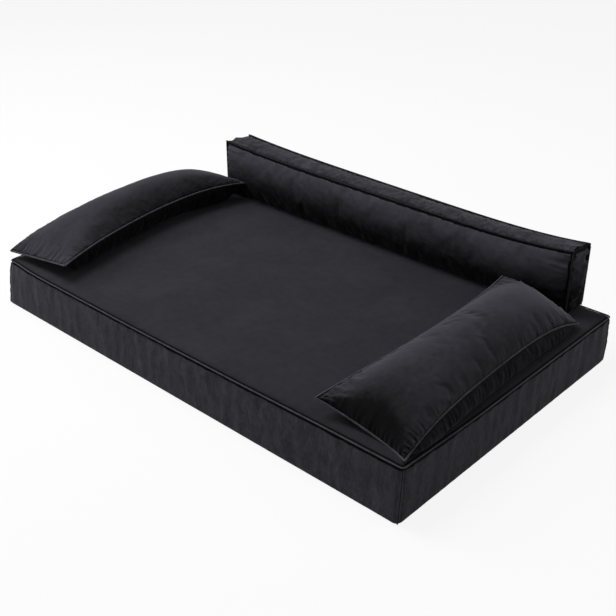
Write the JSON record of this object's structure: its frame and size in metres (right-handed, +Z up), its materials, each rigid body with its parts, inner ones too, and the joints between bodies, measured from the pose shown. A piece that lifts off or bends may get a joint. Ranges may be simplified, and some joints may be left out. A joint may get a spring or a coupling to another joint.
{
  "type": "dog sofa bed",
  "caption": "Low rectangular mattress bed for a dog with a bolster along the back and a loose pillow on each side, in dark velvet with piped seams.",
  "frame": {"origin": "middle of the mattress's underside, on the floor", "axes": "+X along the long side, to the right as one faces the bed from the front; +Y from the front to the bolster at the back; +Z up"},
  "size_m": [1.045, 0.635, 0.2347],
  "materials": {
    "velvet": "matte",
    "piping": "matte",
    "base_cloth": "matte",
    "support_foam": "matte",
    "comfort_foam": "matte",
    "fibre_fill": "matte",
    "zip_tape": "matte",
    "zip_metal": "satin",
    "hook_and_loop": "matte"
  },
  "bodies": {
    "base": {"base_back_boxing": "velvet", "base_back_hooks": "hook_and_loop", "base_bottom_panel": "base_cloth", "base_comfort_foam": "comfort_foam", "base_front_boxing": "velvet", "base_left_boxing": "velvet", "base_left_hooks": "hook_and_loop", "base_right_boxing": "velvet", "base_right_hooks": "hook_and_loop", "base_support_foam": "support_foam", "base_top_panel": "velvet", "base_welt": "piping", "base_zip_chain": "zip_tape"},
    "base_slider": {"base_zip_slider": "zip_metal"},
    "base_pull": {"base_zip_pull": "zip_metal"},
    "bolster": {"bolster_back_panel": "velvet", "bolster_back_welt": "piping", "bolster_bottom_boxing": "velvet", "bolster_foam": "support_foam", "bolster_front_panel": "velvet", "bolster_front_welt": "piping", "bolster_left_end": "velvet", "bolster_loops": "hook_and_loop", "bolster_right_end": "velvet", "bolster_top_boxing": "velvet", "bolster_zip_chain": "zip_tape"},
    "bolster_slider": {"bolster_zip_slider": "zip_metal"},
    "bolster_pull": {"bolster_zip_pull": "zip_metal"},
    "left_pillow": {"left_pillow_bottom": "velvet", "left_pillow_fill": "fibre_fill", "left_pillow_loops": "hook_and_loop", "left_pillow_top": "velvet", "left_pillow_welt": "piping", "left_pillow_zip_chain": "zip_tape"},
    "left_pillow_slider": {"left_pillow_zip_slider": "zip_metal"},
    "left_pillow_pull": {"left_pillow_zip_pull": "zip_metal"},
    "right_pillow": {"right_pillow_bottom": "velvet", "right_pillow_fill": "fibre_fill", "right_pillow_loops": "hook_and_loop", "right_pillow_top": "velvet", "right_pillow_welt": "piping", "right_pillow_zip_chain": "zip_tape"},
    "right_pillow_slider": {"right_pillow_zip_slider": "zip_metal"},
    "right_pillow_pull": {"right_pillow_zip_pull": "zip_metal"}
  },
  "joints": [
    {"name": "bolster_lift", "type": "slide", "parent": "base", "child": "bolster", "axis": [0, 0, 1], "range_m": [0, 0.15]},
    {"name": "left_pillow_lift", "type": "slide", "parent": "base", "child": "left_pillow", "axis": [0, 0, 1], "range_m": [0, 0.15]},
    {"name": "right_pillow_lift", "type": "slide", "parent": "base", "child": "right_pillow", "axis": [0, 0, 1], "range_m": [0, 0.15]},
    {"name": "base_zip", "type": "slide", "parent": "base", "child": "base_slider", "axis": [1, 0, 0], "range_m": [0, 0.8155]},
    {"name": "base_zip_pull_hinge", "type": "hinge", "parent": "base_slider", "child": "base_pull", "pos_m": [-0.40775, 0.3146, 0.044], "axis": [0, 0, 1], "range_deg": [0, 180]},
    {"name": "bolster_zip", "type": "slide", "parent": "bolster", "child": "bolster_slider", "axis": [1, 0, 0], "range_m": [0, 0.6955]},
    {"name": "bolster_zip_pull_hinge", "type": "hinge", "parent": "bolster_slider", "child": "bolster_pull", "pos_m": [-0.34775, 0.3116, 0.1228], "axis": [0, 0, 1], "range_deg": [0, 180]},
    {"name": "left_pillow_zip", "type": "slide", "parent": "left_pillow", "child": "left_pillow_slider", "axis": [0, 1, 0], "range_m": [0, 0.2355]},
    {"name": "left_pillow_zip_pull_hinge", "type": "hinge", "parent": "left_pillow_slider", "child": "left_pillow_pull", "pos_m": [-0.50502, -0.14675, 0.1246], "axis": [-0.3551, 0, 0.9348], "range_deg": [0, 180]},
    {"name": "right_pillow_zip", "type": "slide", "parent": "right_pillow", "child": "right_pillow_slider", "axis": [0, 1, 0], "range_m": [0, 0.2355]},
    {"name": "right_pillow_zip_pull_hinge", "type": "hinge", "parent": "right_pillow_slider", "child": "right_pillow_pull", "pos_m": [0.36397, -0.16875, 0.1246], "axis": [-0.3551, 0, 0.9348], "range_deg": [0, 180]}
  ]
}
